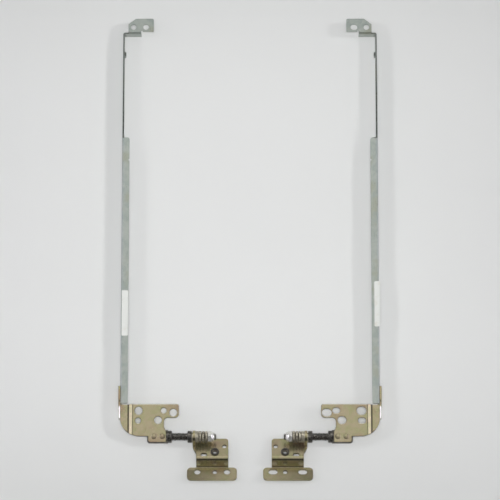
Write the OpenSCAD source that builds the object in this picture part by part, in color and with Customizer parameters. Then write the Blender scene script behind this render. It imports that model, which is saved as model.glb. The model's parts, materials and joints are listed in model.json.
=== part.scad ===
// Pair of laptop lid hinges, lying open on a flat surface.
// Each hinge is drawn once in its own frame and mirrored for the other side.
// Hinge frame: x from the outer face of the arm's web towards the middle of the pair,
// y from the hinge axis up along the arm, z up from the surface that the pair lies on.
// Base bracket frame: the same x, u away from the axis along its plate, w up from its plate.

/* [Pair] */
// Width over the outer faces of the two screen brackets
pair_w = 149.6; // [145:0.2:220]
// Angle between the base bracket's plate and the surface, as the hinge lies open
open_tilt = 26; // [20:0.5:30]
// Travel of the base bracket from lying open to closed
travel = 154; // [90:1:160]

/* [Arm] */
// Thickness of the arm's sheet
arm_t = 0.8; // [0.6:0.1:1]
// Height of the arm's web
arm_h = 7; // [6.5:0.1:8]
// Distance from the hinge axis to the lower end of the arm
arm_start = 19.2; // [19:0.2:21]
// Distance from the hinge axis to the inner face of the end wall
arm_end = 237; // [180:1:300]
// Width over the web and the flange
flange_w = 4.1; // [3:0.1:5]
// Length of the flange, from the lower end of the arm
flange_len = 155.6; // [100:1:158]
// Diameter of the locating notch in the flange's inner edge
flange_notch_d = 1.2; // [0.6:0.1:2]
// Distance of the locating notch from the flange's upper end
flange_notch_from_end = 13.2; // [5:0.1:40]
// Drop of the plain strip's upper edge below the arm's upper face
strip_drop = 0.6; // [0:0.1:1.4]
// Inside radius of the arm's bends
arm_bend_r = 0.3; // [0.2:0.1:0.6]
// Length of the end wall along x
end_wall_len = 10.4; // [8:0.2:14]
// Distance from the web to the near edge of the ear
ear_start = 3; // [2:0.2:5]
// Width of the ear along x
ear_w = 14.6; // [12:0.2:20]
// Reach of the ear past the end wall
ear_reach = 9; // [7:0.2:12]
// Chamfer of the ear's outer corner along x and along y
ear_chamfer = [4.3, 3.3]; // [1:0.1:5]
// Width and depth of the relief notch beside the ear's bend
ear_relief = [0.9, 0.9]; // [0.5:0.1:1.5]
// Diameter of the ear's two screw holes
ear_hole_d = 3.2; // [2:0.1:3.6]
// Distance from the ear's near edge to its first screw hole
ear_hole_start = 3; // [2.6:0.1:4]
// Distance between the ear's two screw holes
ear_hole_pitch = 7.2; // [6:0.1:8]
// Distance from the end wall to the ear's two screw holes
ear_hole_reach = 3.9; // [3.4:0.1:5]
// Extra length of the ear's second hole on the right hinge, where it is a slot
ear_slot = 0.8; // [0:0.1:1.5]
// Height of the screw holes and rivets in the web
web_hole_z = 3.1; // [2.9:0.1:3.4]
// Diameter of the panel screw holes in the web
side_hole_d = 2.2; // [1.6:0.1:3]
// Distance from the hinge axis to each panel screw hole
side_hole_y = [32.8, 225.2]; // [32:0.1:226]
// Height of the drawn collar round a panel screw hole
side_collar_h = 0.9; // [0.4:0.1:1.4]
// Wall of the drawn collar at its rim
side_collar_wall = 0.5; // [0.3:0.1:0.8]
// Extra wall of the drawn collar at its root
side_collar_flare = 0.3; // [0.1:0.1:0.5]

/* [Screen bracket] */
// Thickness of the screen bracket's sheet
bracket_t = 1.2; // [0.8:0.1:1.6]
// Inside radius of the screen bracket's bends
bracket_bend_r = 0.5; // [0.4:0.1:1.2]
// Distance from the hinge axis to the upper edge of the plate
plate_top = 18.5; // [17.5:0.1:18.9]
// Distance from the hinge axis down to the lower edge of the plate
plate_low = 0; // [0:0.1:1.5]
// Distance from the arm's web to the inner edge of the plate
plate_reach = 33.3; // [32.8:0.05:40]
// Distance from the arm's web to the start of the plate's joggle
joggle_start = 4.6; // [3:0.1:5]
// Slope of the joggle
joggle_angle = 35; // [25:1:60]
// Large radius at the plate's lower outer corner
plate_corner_r = 11.4; // [5:0.1:12]
// Distance from the arm's web to the throat between the tab and the hook
throat_x = 24.9; // [24.2:0.1:25.6]
// Distance from the hinge axis to the lower edge of the hook
hook_low = 10.65; // [9.5:0.05:11.3]
// Radius in the throat's corner and at the hook's lower corner
hook_r = 2.2; // [1:0.1:2.6]
// Distances from the arm's web to the two ends of the tab over the shaft's tail
tab_x = [15.95, 26.1]; // [15:0.05:27]
// Length of the bent wall below the plate's upper edge
wall_len = 7.7; // [5:0.1:9]
// Height of the wall's and the leg's lower edge
wall_foot_z = 0.3; // [0.1:0.1:0.8]
// Distance from the hinge axis to the end of the riveted leg
leg_end = 29.4; // [28.6:0.1:31]
// Drop of the leg's upper edge below the arm's upper face
leg_drop = 0.4; // [0.2:0.1:0.8]
// Length and depth of the relief notch where the leg leaves the plate's bend
leg_notch = [2.8, 2]; // [1.6:0.1:2.8]
// Diameter of the corner hole
corner_hole_d = 4.5; // [3:0.1:5]
// Diameter of the two small screw holes
small_hole_d = 3.2; // [2:0.1:3.6]
// Diameter of the two large screw holes
large_hole_d = 4.3; // [3:0.1:4.6]
// Place of the corner hole from the web and from the hinge axis
corner_hole_at = [10.45, 14.7]; // [10:0.05:15]
// Place of the outer small hole
outer_small_at = [10.2, 9.05]; // [8.5:0.05:11]
// Place of the inner small hole
inner_small_at = [24.7, 14.8]; // [14:0.05:25]
// Place of the inner large hole
inner_large_at = [30.1, 13.6]; // [13.4:0.05:30.6]
// Place of the middle large hole
middle_large_at = [21.5, 9.3]; // [8.5:0.05:21.8]
// Extra length of the corner hole and the two small holes on the right hinge, where they are slots
corner_small_slot = [1, 1.3, 1.1]; // [0:0.1:1.5]
// Extra length of the inner and the middle large hole on the right hinge, where they are slots
large_slot = [1.3, 0.6]; // [0:0.1:1.5]

/* [Rivets] */
// Diameter of the rivets through leg and arm
leg_rivet_d = 2; // [1.6:0.1:2.2]
// Distances from the hinge axis to the two leg rivets
leg_rivet_y = [22.3, 26.9]; // [22:0.1:27.4]
// Diameter of the rivets through the shaft's tail
tail_rivet_d = 2.4; // [1.8:0.1:2.6]
// Distances from the web to the two tail rivets
tail_rivet_x = [19.2, 23.85]; // [17.8:0.1:24]
// Radial reach of a rivet's head past its shank
rivet_lip = 0.5; // [0.3:0.1:0.6]
// Height of a rivet's domed head
dome_h = 0.55; // [0.3:0.05:0.8]

/* [Shaft] */
// Diameter of the shaft
shaft_d = 3.9; // [3.4:0.1:4.4]
// Distance across the shaft's two flats
shaft_flats = 3.1; // [2.4:0.1:3.3]
// Diameter of the two collars
collar_d = 6.8; // [6:0.1:7.6]
// Chamfer of the collars' rims
collar_chamfer = 0.3; // [0.1:0.1:0.6]
// Thickness of the flat tail under the screen bracket
tail_t = 2; // [1.6:0.1:2.2]
// Width of the flat tail
tail_w = 7.4; // [6:0.1:7.8]
// Strip of the tail that shows beyond the screen bracket's tab
tail_show = 0.3; // [0:0.1:0.6]
// Length of the outer collar
collar_len = 3.2; // [2:0.1:4]
// Length of the bare shaft between the collars
neck_len = 8.9; // [7:0.1:16]
// Length of the inner collar
inner_collar_len = 2.4; // [2:0.1:4]
// Diameter of the threaded end
thread_d = 3.5; // [3.2:0.1:3.9]
// Chamfer of the threaded end
thread_chamfer = 0.4; // [0.2:0.1:0.6]

/* [Friction pack] */
// Diameter of the washers and springs
washer_d = 6.5; // [6:0.1:7.4]
// Thickness of the stop washer and of the friction washer
washer_t = 0.5; // [0.4:0.1:0.8]
// Thickness of the pressure washer
pressure_t = 1.35; // [0.8:0.05:2]
// Thickness of one spring washer
spring_t = 0.5; // [0.3:0.05:0.6]
// Height of one spring washer's cone
spring_cone = 0.375; // [0.2:0.025:0.6]
// Distance across the lock nut's flats
nut_af = 5.8; // [5:0.1:7]
// Length of the lock nut
nut_len = 3.7; // [2.5:0.1:5]
// Length of the lock nut's crimped, narrower end
nut_crown = 1.1; // [0.6:0.1:1.6]
// Length of the shaft's tip past the nut
tip_len = 1; // [0.5:0.1:2]
// Diameter of the stop pip on the base bracket's ear
pip_d = 0.8; // [0.6:0.1:1]
// Distance from the washers' rim to the middle of the stop pip
pip_inset = 0.25; // [0.1:0.05:0.4]

/* [Base bracket] */
// Thickness of the base bracket's sheet
base_t = 1.4; // [1:0.1:1.6]
// Inside radius of the base bracket's bends
base_bend_r = 0.6; // [0.4:0.1:1]
// Distance from the hinge axis down to the upper face of the plate
plate_drop = 4.7; // [4.4:0.1:5.2]
// Radius of the ear's head round the shaft
head_r = 3.5; // [3.5:0.1:4.3]
// Distance from the hinge axis along the plate to the side of the ear, above its bend
ear_foot = 3.6; // [3:0.1:5]
// Extra reach of the ear along the plate, where it flares out round its bend
ear_flare = 4.4; // [2:0.1:4.8]
// Reach of the plate behind the hinge axis
plate_back = 2.1; // [1.4:0.05:2.2]
// Width of the plate without the ear's bend
base_plate_w = 18.1; // [17.6:0.05:26]
// Distance from the hinge axis along the plate to the start of the step's bend
step_start = 10.05; // [10:0.05:14]
// Height of the step from plate to foot
step_h = 7.2; // [5:0.1:8]
// Angle of the step's wall to the plate
step_angle = 85; // [70:1:90]
// Distance from the hinge axis along the plate to the far edge of the foot
foot_end = 21.1; // [20.8:0.05:26]
// Width of the foot
foot_w = 28.25; // [27.8:0.05:36]
// Overhang of the foot past the outer edge of the plate
foot_overhang = 5.25; // [4:0.05:7]
// Radius of the foot's corners
foot_corner_r = 2.3; // [1:0.1:3]
// Diameter of the two foot screw holes
foot_hole_d = 3.6; // [3:0.1:4.2]
// Distances of the foot screw holes from the outer end of the foot
foot_hole_x = [5.85, 22.65]; // [4.5:0.05:23]
// Distance of the foot's holes from the hinge axis along the plate
foot_hole_u = 15.75; // [15.5:0.05:18]
// Extra length of the two foot holes on the right hinge, where they are slots
foot_slot = 1.5; // [0:0.1:1.5]
// Diameter of the tapped hole in the foot
tapped_d = 3; // [2:0.1:3.2]
// Distance of the tapped hole from the outer end of the foot
tapped_x = 15.75; // [12:0.05:17]
// Depth and wall of the drawn collar under the tapped hole
tapped_collar = [0.5, 0.5]; // [0.3:0.1:1.2]
// Outside diameter of the threaded insert
insert_d = 4.7; // [4:0.1:5.2]
// Diameter of the threaded insert's thread
insert_bore_d = 3; // [2:0.1:3.4]
// Length of the insert's wider barrel under the plate
insert_barrel = 0.6; // [0.4:0.1:2]
// Height of the insert above the plate
insert_proud = 0.7; // [0.1:0.1:1]
// Extra radius of the insert's barrel
insert_lip = 0.4; // [0.2:0.1:0.6]
// Distance of the insert from the plate's outer edge and from the hinge axis
insert_at = [10.55, 7.25]; // [6:0.05:11]
// Diameter of the locating hole in the plate
locating_d = 2.5; // [1.5:0.1:3]
// Distance of the locating hole from the plate's outer edge and from the hinge axis
locating_at = [15.9, 3.25]; // [3:0.05:16]
// Width and extra length of the narrow slot beside the ear
ear_slot_size = [2.2, 1.4]; // [1:0.1:2.4]
// Distance of the narrow slot from the plate's outer edge and from the hinge axis
ear_slot_at = [4.3, 8.9]; // [3:0.05:9]

/* [Labels] */
// Length of each label
label_len = 26.4; // [10:0.1:40]
// Width of the left and right label
label_w = [3.7, 3.4]; // [2:0.1:4]
// Distance from the web's outer face to the edge of the left and right label
label_x = [0.35, -0.8]; // [-1:0.05:0.8]
// Distance from the hinge axis to the lower end of the left and right label
label_y = [58.3, 63.6]; // [40:0.1:110]
// Thickness of a label
label_t = 0.1; // [0.1:0.05:0.3]

/* [Fits] */
// Radial clearance of the shaft in the base bracket's ear
running_gap = 0.05; // [0.02:0.01:0.1]
// Clearance on each side of the ear between its two washers
axial_gap = 0.02; // [0.01:0.01:0.05]
// Clearance between washers and the shaft
washer_gap = 0.05; // [0.02:0.01:0.15]
// Clearance angle of the stop pip at each end of its notch
stop_gap = 0.6; // [0.3:0.1:2]

/* [Hidden] */
$fn = 64;
left = 0;
right = 1;
// Overlap of solids that are joined, and reach of a hole's cutter on each side of a sheet's face
eps = 0.01;
through = 4;
// Length of a last fold that its outline cuts to size
long = 60;

// Base bracket: how far its folds reach, and the height that it holds the hinge axis at
base_out_r = base_bend_r + base_t;
step_straight = (step_h - (base_out_r + base_bend_r) * (1 - cos(step_angle))) / sin(step_angle);
foot_start = step_start + (base_bend_r + base_out_r) * sin(step_angle) + step_straight * cos(step_angle);
back_rest = plate_back * sin(open_tilt) + (plate_drop + base_t) * cos(open_tilt);
bend_rest = (plate_drop + step_h - base_bend_r) * cos(open_tilt) - foot_start * sin(open_tilt) + base_out_r;
collar_tip = [foot_hole_u - tapped_d / 2 - tapped_collar[1], plate_drop + step_h + base_t + tapped_collar[0]];
collar_rest = collar_tip[1] * cos(open_tilt) - collar_tip[0] * sin(open_tilt);
axis_z = max(back_rest, bend_rest, collar_rest);
foot_reach = foot_end * cos(open_tilt) + (plate_drop + step_h + base_t) * sin(open_tilt);

// Places of the two hinges
axis_y = -(arm_end + ear_reach - foot_reach) / 2;
web_x = pair_w / 2 - bracket_t;

// Screen bracket: heights of its plate and shelf, and the joggle between them
plate_z = axis_z + tail_t / 2;
joggle_top = plate_z + bracket_t;
shelf_top = arm_h + 0.1;
shelf_edge = -0.2;
joggle_h = joggle_top - shelf_top;
joggle_r = 2 * bracket_bend_r + bracket_t;
// A low joggle bends less, and one that steps down bends the other way
joggle_turn = max(1, min(joggle_angle, 0.9 * acos(1 - abs(joggle_h) / joggle_r)));
joggle_straight = max(eps, (abs(joggle_h) - joggle_r * (1 - cos(joggle_turn))) / sin(joggle_turn));
joggle_way = joggle_h < 0 ? -joggle_turn : joggle_turn;
plate_holes = [
    [corner_hole_at, corner_hole_d, corner_small_slot[0]],
    [outer_small_at, small_hole_d, corner_small_slot[1]],
    [inner_small_at, small_hole_d, corner_small_slot[2]],
    [inner_large_at, large_hole_d, large_slot[0]],
    [middle_large_at, large_hole_d, large_slot[1]]
];

// Places along the hinge axis, in the order of the pieces on the shaft
collar_x = tab_x[1] + 0.05;
neck_x = collar_x + collar_len;
inner_collar_x = neck_x + neck_len;
stop_x = inner_collar_x + inner_collar_len;
ear_x = stop_x + washer_t + axial_gap;
friction_x = ear_x + base_t + axial_gap;
pressure_x = friction_x + washer_t;
spring_x = pressure_x + pressure_t;
spring_count = 6;
spring_pitch = spring_t + spring_cone;
nut_x = spring_x + spring_count * spring_pitch;
tip_x = nut_x + nut_len + tip_len;
base_edge_x = ear_x + base_t + base_bend_r;
foot_x = base_edge_x - foot_overhang;
foot_w_top = -plate_drop - step_h;

// Stop washer: circle of the pip, its half width as an angle, and the radius of the notch's floor
washer_bore = shaft_d + 2 * washer_gap;
pip_r = washer_d / 2 - pip_inset;
pip_half = asin(pip_d / 2 / pip_r);
notch_floor = pip_r - pip_d / 2 - 0.05;

steel = [0.62, 0.65, 0.63];
gold = [0.60, 0.56, 0.41];
black = [0.10, 0.10, 0.11];
bright = [0.82, 0.83, 0.84];
paper = [0.90, 0.90, 0.87];

// Puts a hinge's own frame in its place on the left or the right
module place(side) {
    mirror([side, 0, 0])
        translate([-web_x, axis_y, 0])
            children();
}

// Puts a piece that turns with the shaft, drawn along z from the hinge frame's x on
module on_shaft(side, x) {
    place(side)
        translate([x, 0, axis_z])
            rotate([0, 90, 0])
                children();
}

// Puts the base bracket's frame at the hinge axis, at the angle it lies at
module on_base(side) {
    place(side)
        translate([0, 0, axis_z])
            rotate([-open_tilt, 0, 0])
                mirror([0, 1, 0])
                    children();
}

// Cutter through a flat sheet, round the sheet's height z
module cut_at(at, z) {
    translate([at[0], at[1], z - through])
        linear_extrude(2 * through)
            children();
}

// Round cutter through the arm's web
module web_hole(y, d) {
    translate([-through, y, web_hole_z])
        rotate([0, 90, 0])
            cylinder(h = 2 * through, d = d);
}

// One bent corner of a sheet: inside radius r, thickness t, from heading 0 through angle a
module bend(r, t, a) {
    centre = a > 0 ? t + r : -r;
    reach = 3 * (r + t);
    wedge = [[0, 0], [0, -reach], [reach * tan(abs(a) / 2), -reach], [reach * sin(abs(a)), -reach * cos(a)]];
    translate([0, centre])
        mirror([0, a > 0 ? 0 : 1])
            intersection() {
                difference() {
                    circle(r + t);
                    circle(r);
                }
                polygon(wedge);
            }
}

// Section of a folded sheet: steps are [length] for a straight and [radius, angle] for a bend
module folded(t, steps, i = 0) {
    if (i < len(steps)) {
        s = steps[i];
        if (len(s) == 1) {
            square([s[0], t]);
            translate([s[0], 0])
                folded(t, steps, i + 1);
        } else {
            bend(s[0], t, s[1]);
            centre = s[1] > 0 ? t + s[0] : -s[0];
            translate([0, centre])
                rotate(s[1])
                    translate([0, -centre])
                        folded(t, steps, i + 1);
        }
    }
}

// Rectangle from one corner to the other, with a radius at each of its four corners
// in the order lower left, lower right, upper right, upper left
module rounded(from, to, r) {
    corners = [from, [to[0], from[1]], to, [from[0], to[1]]];
    difference() {
        translate(from)
            square(to - from);
        for (i = [0:3])
            if (r[i] > 0)
                translate(corners[i])
                    rotate(90 * i)
                        difference() {
                            translate([-eps, -eps])
                                square(r[i] + eps);
                            translate([r[i], r[i]])
                                circle(r[i]);
                        }
    }
}

// Round hole, or slot longer by extra along x
module slot2d(d, extra = 0) {
    circle(d = d);
    if (extra > 0) {
        translate([extra / 2, 0])
            circle(d = d);
        translate([-extra / 2, 0])
            circle(d = d);
        square([extra, d], center = true);
    }
}

// Round section with two flats
module double_d(d, flats) {
    intersection() {
        circle(d = d);
        square([flats, d + 1], center = true);
    }
}

// Disc with chamfered rims
module chamfered_disc(d, h, c) {
    rotate_extrude()
        polygon([[0, 0], [d / 2 - c, 0], [d / 2, c], [d / 2, h - c], [d / 2 - c, h], [0, h]]);
}

// Rivet head: a spherical cap of diameter d on z = 0
module dome(d) {
    ball_r = (d * d / 4 + dome_h * dome_h) / (2 * dome_h);
    intersection() {
        translate([0, 0, dome_h - ball_r])
            sphere(ball_r);
        cylinder(h = 2 * dome_h, d = d);
    }
}

// Flat outline of the ear at the upper end of the arm
module ear_outline() {
    edge_r = [0.5, 0.8];
    root_y = arm_end + arm_bend_r + arm_t;
    tip_y = arm_end + ear_reach;
    slope = ear_chamfer[1] / ear_chamfer[0];
    difference() {
        rounded([ear_start, root_y], [ear_start + ear_w, tip_y], [0, edge_r[0], edge_r[1], 0]);
        // chamfer, cut by a triangle that stands a millimetre outside the corner
        translate([ear_start - 1, tip_y + 1])
            polygon([[0, 0], [0, -1 - ear_chamfer[1] - slope], [1 + ear_chamfer[0] + 1 / slope, 0]]);
        translate([end_wall_len, root_y - 1])
            rounded([0, 0], [ear_relief[0], ear_relief[1] + 1], [0, 0, ear_relief[0] / 2, ear_relief[0] / 2]);
    }
}

// Arm: web, flange, corner bend, end wall and ear, folded from one strip
module arm(side) {
    out_r = arm_bend_r + arm_t;
    corner_y = arm_end + arm_t - out_r;
    flange_end = arm_start + flange_len;
    flange_r = [0.6, 1.2];
    flange_steps = [[arm_h - out_r], [arm_bend_r, -90], [flange_w - out_r]];
    corner_steps = [[corner_y - arm_start], [arm_bend_r, -90], [ear_start - out_r]];
    ear_hole_y = arm_end + ear_hole_reach;
    ear_hole_x = ear_start + ear_hole_start;
    rim_r = side_hole_d / 2 + side_collar_wall;
    color(steel)
        place(side)
            difference() {
                union() {
                    // flanged length
                    intersection() {
                        translate([arm_t, flange_end, 0])
                            rotate([90, 0, 0])
                                linear_extrude(flange_len)
                                    rotate(90)
                                        folded(arm_t, flange_steps);
                        linear_extrude(arm_h + 1)
                            rounded([-1, arm_start], [flange_w, flange_end], [0, flange_r[0], flange_r[1], 0]);
                    }
                    // plain strip and the corner into the end wall
                    linear_extrude(arm_h - strip_drop)
                        translate([arm_t, arm_start])
                            rotate(90)
                                folded(arm_t, corner_steps);
                    // end wall with the bend into the ear
                    translate([ear_start, arm_end + arm_t, 0])
                        rotate([90, 0, 90])
                            linear_extrude(end_wall_len - ear_start)
                                rotate(90)
                                    folded(arm_t, [[arm_h - out_r], [arm_bend_r, -90], [eps]]);
                    translate([0, 0, arm_h - arm_t])
                        linear_extrude(arm_t)
                            ear_outline();
                    for (y = side_hole_y)
                        translate([arm_t - eps, y, web_hole_z])
                            rotate([0, 90, 0])
                                cylinder(h = side_collar_h + eps, r1 = rim_r + side_collar_flare, r2 = rim_r);
                }
                for (y = side_hole_y)
                    web_hole(y, side_hole_d);
                for (y = leg_rivet_y)
                    web_hole(y, leg_rivet_d);
                cut_at([ear_hole_x, ear_hole_y], arm_h)
                    circle(d = ear_hole_d);
                cut_at([ear_hole_x + ear_hole_pitch, ear_hole_y], arm_h)
                    slot2d(ear_hole_d, side == right ? ear_slot : 0);
                cut_at([flange_w, flange_end - flange_notch_from_end], arm_h)
                    circle(d = flange_notch_d);
            }
}

// Flat outline of the screen bracket
module screen_outline() {
    tab_r = [1.3, 0.4];
    hook_top_r = 1.2;
    tab_top = tail_w / 2 - 1;
    throat_low = 5.3;
    tab_low = tail_w / 2 - tail_show;
    // shelf, plate and the bent wall at its outer edge
    rounded([shelf_edge, -plate_low], [throat_x, plate_top], [plate_corner_r, 0, 0, 0]);
    translate([-2 * bracket_t, plate_top - wall_len])
        square([2 * bracket_t + 1, wall_len]);
    // hook that carries the two inner holes, with the radius in the throat's corner
    rounded([throat_x - 1, hook_low], [plate_reach, plate_top], [0, hook_r, hook_top_r, 0]);
    difference() {
        translate([throat_x - eps, hook_low - hook_r])
            square(hook_r + eps);
        translate([throat_x + hook_r, hook_low - hook_r])
            circle(hook_r);
    }
    // tab over the shaft's tail, with the slanted side of the throat
    rounded([tab_x[0], -tab_low], [tab_x[1], tab_top], [tab_r[0], tab_r[1], 0, 0]);
    translate([throat_x, tab_top - eps])
        polygon([[-1, 0], [tab_x[1] - throat_x, 0], [0, throat_low - tab_top], [-1, throat_low - tab_top]]);
}

// Screen bracket: wall and leg beside the arm, shelf, joggle, plate and tab, folded from one sheet
module screen_bracket(side) {
    out_r = bracket_bend_r + bracket_t;
    leg_low = [plate_top - eps, wall_foot_z];
    leg_top = arm_h - leg_drop;
    leg_r = 0.8;
    notch_r = leg_notch[1] / 2;
    color(gold)
        place(side)
            difference() {
                union() {
                    intersection() {
                        translate([0, plate_top + 1, 0])
                            rotate([90, 0, 0])
                                linear_extrude(plate_top + tail_w)
                                    translate([0, wall_foot_z])
                                        rotate(90)
                                            folded(bracket_t, [
                                                [shelf_top - out_r - wall_foot_z],
                                                [bracket_bend_r, -90],
                                                [joggle_start - bracket_bend_r],
                                                [bracket_bend_r, joggle_way],
                                                [joggle_straight],
                                                [bracket_bend_r, -joggle_way],
                                                [long]
                                            ]);
                        linear_extrude(joggle_top + 1)
                            screen_outline();
                    }
                    // leg riveted to the arm, with a relief notch beside the bend
                    translate([-bracket_t, 0, 0])
                        rotate([90, 0, 90])
                            linear_extrude(bracket_t)
                                difference() {
                                    rounded(leg_low, [leg_end, leg_top], [0, leg_r, leg_r, 0]);
                                    translate([plate_top - 1, leg_top - leg_notch[1]])
                                        rounded([0, 0], leg_notch + [1, leg_notch[1]], [0, notch_r, 0, 0]);
                                }
                }
                for (y = leg_rivet_y) {
                    web_hole(y, leg_rivet_d);
                    translate([-bracket_t, y, web_hole_z])
                        rotate([0, 90, 0])
                            cylinder(h = rivet_lip, d1 = leg_rivet_d + 2 * rivet_lip, d2 = leg_rivet_d);
                }
                for (x = tail_rivet_x)
                    cut_at([x, 0], plate_z)
                        circle(d = tail_rivet_d);
                for (hole = plate_holes)
                    cut_at(hole[0], plate_z)
                        slot2d(hole[1], side == right ? hole[2] : 0);
            }
}

// Two rivets from the leg through the arm's web, flush outside and domed inside
module arm_rivets(side) {
    grip = bracket_t + arm_t;
    head_d = leg_rivet_d + 2 * rivet_lip;
    color(black)
        place(side)
            for (y = leg_rivet_y)
                translate([-bracket_t, y, web_hole_z])
                    rotate([0, 90, 0]) {
                        cylinder(h = rivet_lip, d1 = head_d, d2 = leg_rivet_d);
                        cylinder(h = grip + eps, d = leg_rivet_d);
                        translate([0, 0, grip])
                            dome(head_d);
                    }
}

// Two rivets from the plate's tab through the shaft's tail, domed at both ends
module tail_rivets(side) {
    grip = tail_t + bracket_t;
    head_d = tail_rivet_d + 2 * rivet_lip;
    color(gold)
        place(side)
            for (x = tail_rivet_x)
                translate([x, 0, axis_z - tail_t / 2]) {
                    mirror([0, 0, 1])
                        dome(head_d);
                    translate([0, 0, -eps])
                        cylinder(h = grip + 2 * eps, d = tail_rivet_d);
                    translate([0, 0, grip])
                        dome(head_d);
                }
}

// Shaft: flat tail, two collars, neck and a flatted end with the thread
module shaft(side) {
    tail_r = 1.6;
    tail_start = tab_x[0] - 2 * tail_show;
    half_w = tail_w / 2;
    color(black)
        difference() {
            union() {
                place(side)
                    translate([0, 0, axis_z - tail_t / 2])
                        linear_extrude(tail_t)
                            rounded([tail_start, -half_w], [collar_x + 1, half_w], [tail_r, 0, 0, tail_r]);
                on_shaft(side, collar_x)
                    chamfered_disc(collar_d, collar_len, collar_chamfer);
                on_shaft(side, neck_x - 1)
                    cylinder(h = neck_len + 2, d = shaft_d);
                on_shaft(side, inner_collar_x)
                    chamfered_disc(collar_d, inner_collar_len, collar_chamfer);
                on_shaft(side, stop_x - 1)
                    linear_extrude(nut_x - stop_x + 1)
                        double_d(shaft_d, shaft_flats);
                on_shaft(side, nut_x - 1)
                    intersection() {
                        linear_extrude(tip_x - nut_x + 1)
                            double_d(thread_d, shaft_flats);
                        chamfered_disc(thread_d, tip_x - nut_x + 1, thread_chamfer);
                    }
            }
            place(side)
                for (x = tail_rivet_x)
                    translate([x, 0, axis_z - tail_t])
                        cylinder(h = 2 * tail_t, d = tail_rivet_d);
        }
}

// Flat ring keyed to the shaft's flats
module keyed_ring(thickness) {
    linear_extrude(thickness)
        difference() {
            circle(d = washer_d);
            double_d(washer_bore, shaft_flats + 2 * washer_gap);
        }
}

// Stop washer: the pip on the ear runs in its long notch, from one end as the hinge lies open
// to the other end as it is closed
module stop_washer(side) {
    sweep = travel + 2 * (pip_half + stop_gap);
    first = 90 + pip_half + stop_gap - sweep;
    steps = 4;
    angles = [for (i = [0:steps]) first + sweep * i / steps];
    notch = [for (a = angles) washer_d * [cos(a), sin(a)]];
    color(bright)
        place(side)
            translate([stop_x, 0, axis_z])
                rotate([90, 0, 90])
                    difference() {
                        linear_extrude(washer_t)
                            difference() {
                                circle(d = washer_d);
                                rotate(90)
                                    double_d(washer_bore, shaft_flats + 2 * washer_gap);
                            }
                        rotate(-open_tilt)
                            translate([0, 0, -1])
                                linear_extrude(washer_t + 2)
                                    difference() {
                                        polygon(concat([[0, 0]], notch));
                                        circle(notch_floor);
                                    }
                    }
}

// Outline of the base bracket's ear, in u and w: a round head that runs down to the plate
module base_ear_outline() {
    root_u = ear_foot + ear_flare;
    bend_top = -plate_drop + base_bend_r;
    foot = [ear_foot, bend_top];
    tangent = atan2(foot[1], foot[0]) + acos(head_r / norm(foot));
    difference() {
        union() {
            circle(head_r);
            polygon([
                [-plate_back, -plate_drop - base_t], [root_u, -plate_drop - base_t], [root_u, bend_top],
                foot, head_r * [cos(tangent), sin(tangent)], [-plate_back, 0]
            ]);
        }
        circle(d = shaft_d + 2 * running_gap);
    }
}

// Outline of the ear and its bend from above, in x and u, with the flare round the bend
module ear_root_outline() {
    flare = [
        for (a = [0:15:90])
            [ear_x + base_out_r * (1 - cos(a)), ear_foot + ear_flare * a / 90]
    ];
    polygon(concat(
        [[base_edge_x + 2, ear_foot + ear_flare], [base_edge_x + 2, -head_r - 1], [ear_x - 1, -head_r - 1]],
        [[ear_x - 1, ear_foot]], flare
    ));
}

// Flat outline of the base bracket's plate and foot, in x and u
module base_outline() {
    plate_r = 1.7;
    plate_low = [base_edge_x - eps, -plate_back];
    rounded(plate_low, [base_edge_x + base_plate_w, foot_start + 1], [0, plate_r, 0, 0]);
    rounded([foot_x, foot_start - base_bend_r / 3], [foot_x + foot_w, foot_end], foot_corner_r * [1, 1, 1, 1]);
}

// Base bracket: ear round the shaft, plate, step and foot, folded from one sheet
module base_bracket(side) {
    tapped_at = [foot_x + tapped_x, foot_hole_u];
    plate_edge = [base_edge_x, 0];
    color(gold)
        on_base(side)
            difference() {
                union() {
                    // plate, step and foot
                    intersection() {
                        translate([foot_x - 1, 0, 0])
                            rotate([90, 0, 90])
                                linear_extrude(foot_w + 2)
                                    translate([-plate_back, -plate_drop - base_t])
                                        folded(base_t, [
                                            [step_start + plate_back],
                                            [base_bend_r, -step_angle],
                                            [step_straight],
                                            [base_bend_r, step_angle],
                                            [foot_end - foot_start]
                                        ]);
                        translate([0, 0, foot_w_top - 2 * base_t])
                            linear_extrude(long)
                                base_outline();
                    }
                    // ear with its bend into the plate
                    intersection() {
                        translate([0, ear_foot + ear_flare, 0])
                            rotate([90, 0, 0])
                                linear_extrude(ear_foot + ear_flare + head_r)
                                    translate([base_edge_x + 1, -plate_drop - base_t])
                                        mirror([1, 0])
                                            folded(base_t, [[1], [base_bend_r, 90], [long]]);
                        translate([ear_x - 1, 0, 0])
                            rotate([90, 0, 90])
                                linear_extrude(base_t + base_bend_r + 2)
                                    base_ear_outline();
                        translate([0, 0, foot_w_top])
                            linear_extrude(long)
                                ear_root_outline();
                    }
                    // stop pip on the ear's outer face
                    translate([ear_x + eps, 0, pip_r])
                        rotate([0, -90, 0])
                            cylinder(h = washer_t - axial_gap + eps, d = pip_d);
                    // drawn collar under the tapped hole
                    translate([tapped_at[0], tapped_at[1], foot_w_top - base_t - tapped_collar[0]])
                        cylinder(h = tapped_collar[0] + eps, d = tapped_d + 2 * tapped_collar[1]);
                }
                for (x = foot_hole_x)
                    cut_at([foot_x + x, foot_hole_u], foot_w_top)
                        slot2d(foot_hole_d, side == right ? foot_slot : 0);
                cut_at(tapped_at, foot_w_top)
                    circle(d = tapped_d);
                cut_at(plate_edge + insert_at, -plate_drop)
                    circle(d = insert_d);
                cut_at(plate_edge + locating_at, -plate_drop)
                    circle(d = locating_d);
                cut_at(plate_edge + ear_slot_at, -plate_drop)
                    slot2d(ear_slot_size[0], ear_slot_size[1]);
            }
}

// Friction washer between the ear and the pressure washer
module friction_washer(side) {
    color(bright)
        on_shaft(side, friction_x)
            keyed_ring(washer_t);
}

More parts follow.
